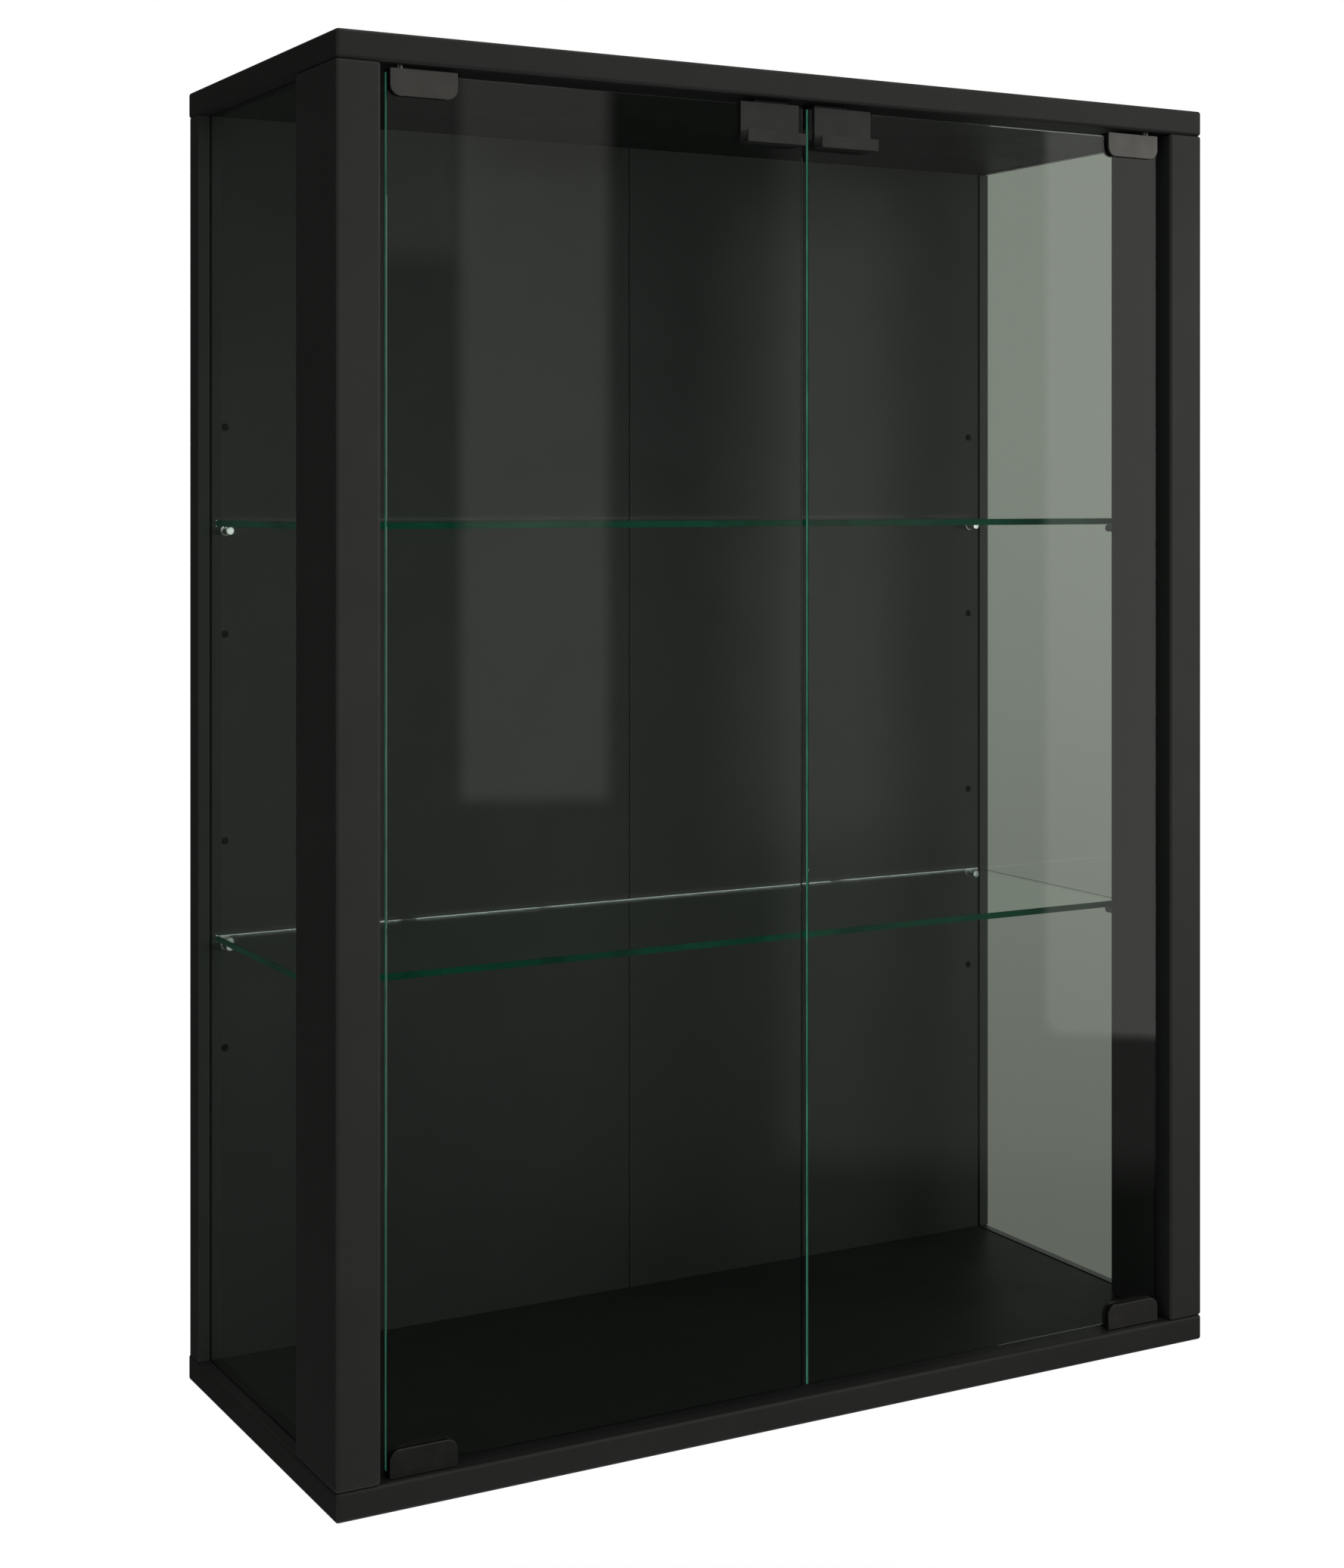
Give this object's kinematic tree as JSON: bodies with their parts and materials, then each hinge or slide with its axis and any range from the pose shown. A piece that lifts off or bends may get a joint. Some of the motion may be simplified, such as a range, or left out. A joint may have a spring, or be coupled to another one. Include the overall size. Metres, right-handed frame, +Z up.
{
  "type": "wall mounted showcase",
  "caption": "Wall-hung display case: black board carcass with glass sides, loose glass shelves on pins, and two frameless glass doors on pivot hinges.",
  "frame": {"origin": "centre of the bottom board's underside", "axes": "+Z up, +Y towards the wall, so the doors face -Y; +X to the right as seen from the front"},
  "size_m": [0.6, 0.253, 0.8],
  "materials": {
    "board_black": "board with a matte black decor skin, fine grain, eased edges",
    "clear_glass": "clear float glass, faint green body, dark green ground edges",
    "hinge_black": "satin black powder coat",
    "pull_black": "satin black powder coat on folded sheet",
    "pin_chrome": "bright nickel plate",
    "black_plastic": "moulded black plastic",
    "liner_rubber": "soft black liner",
    "magnet_steel": "ground steel pole face",
    "hanger_zinc": "zinc plated",
    "dowel_beech": "plain beech"
  },
  "bodies": {
    "case": {"top_board": "board_black", "bottom_board": "board_black", "back_panel_left": "board_black", "front_post_left": "board_black", "side_pane_left": "clear_glass", "shelf_pin_upper_back_left": "pin_chrome", "shelf_pin_upper_front_left": "pin_chrome", "shelf_pin_lower_back_left": "pin_chrome", "shelf_pin_lower_front_left": "pin_chrome", "pivot_bush_upper_left": "black_plastic", "dowel_post_upper_left": "dowel_beech", "dowel_panel_upper_left": "dowel_beech", "pivot_bush_lower_left": "black_plastic", "dowel_post_lower_left": "dowel_beech", "dowel_panel_lower_left": "dowel_beech", "catch_body_left": "black_plastic", "catch_magnet_left": "magnet_steel", "wall_hanger_left": "hanger_zinc", "hanger_screw_inner_left": "hanger_zinc", "hanger_screw_outer_left": "hanger_zinc", "back_panel_right": "board_black", "front_post_right": "board_black", "side_pane_right": "clear_glass", "shelf_pin_upper_back_right": "pin_chrome", "shelf_pin_upper_front_right": "pin_chrome", "shelf_pin_lower_back_right": "pin_chrome", "shelf_pin_lower_front_right": "pin_chrome", "pivot_bush_upper_right": "black_plastic", "dowel_post_upper_right": "dowel_beech", "dowel_panel_upper_right": "dowel_beech", "pivot_bush_lower_right": "black_plastic", "dowel_post_lower_right": "dowel_beech", "dowel_panel_lower_right": "dowel_beech", "catch_body_right": "black_plastic", "catch_magnet_right": "magnet_steel", "wall_hanger_right": "hanger_zinc", "hanger_screw_inner_right": "hanger_zinc", "hanger_screw_outer_right": "hanger_zinc"},
    "door_left": {"door_glass_left": "clear_glass", "hinge_clamp_upper_left": "hinge_black", "clamp_liner_upper_left": "liner_rubber", "pivot_pin_upper_left": "pin_chrome", "clamp_screw_upper_left": "hinge_black", "hinge_clamp_lower_left": "hinge_black", "clamp_liner_lower_left": "liner_rubber", "pivot_pin_lower_left": "pin_chrome", "clamp_screw_lower_left": "hinge_black", "door_pull_left": "pull_black"},
    "door_right": {"door_glass_right": "clear_glass", "hinge_clamp_upper_right": "hinge_black", "clamp_liner_upper_right": "liner_rubber", "pivot_pin_upper_right": "pin_chrome", "clamp_screw_upper_right": "hinge_black", "hinge_clamp_lower_right": "hinge_black", "clamp_liner_lower_right": "liner_rubber", "pivot_pin_lower_right": "pin_chrome", "clamp_screw_lower_right": "hinge_black", "door_pull_right": "pull_black"},
    "shelf_upper": {"glass_shelf_upper": "clear_glass"},
    "shelf_lower": {"glass_shelf_lower": "clear_glass"}
  },
  "joints": [
    {"name": "door_left_swing", "type": "hinge", "parent": "case", "child": "door_left", "pos_m": [-0.26, -0.1165, 0.4], "axis": [0, 0, -1], "range_deg": [0, 110]},
    {"name": "door_right_swing", "type": "hinge", "parent": "case", "child": "door_right", "pos_m": [0.26, -0.1165, 0.4], "axis": [0, 0, 1], "range_deg": [0, 110]},
    {"name": "shelf_upper_lift", "type": "slide", "parent": "case", "child": "shelf_upper", "axis": [0, 0, 1], "range_m": [0, 0.05]},
    {"name": "shelf_lower_lift", "type": "slide", "parent": "case", "child": "shelf_lower", "axis": [0, 0, 1], "range_m": [0, 0.05]}
  ]
}
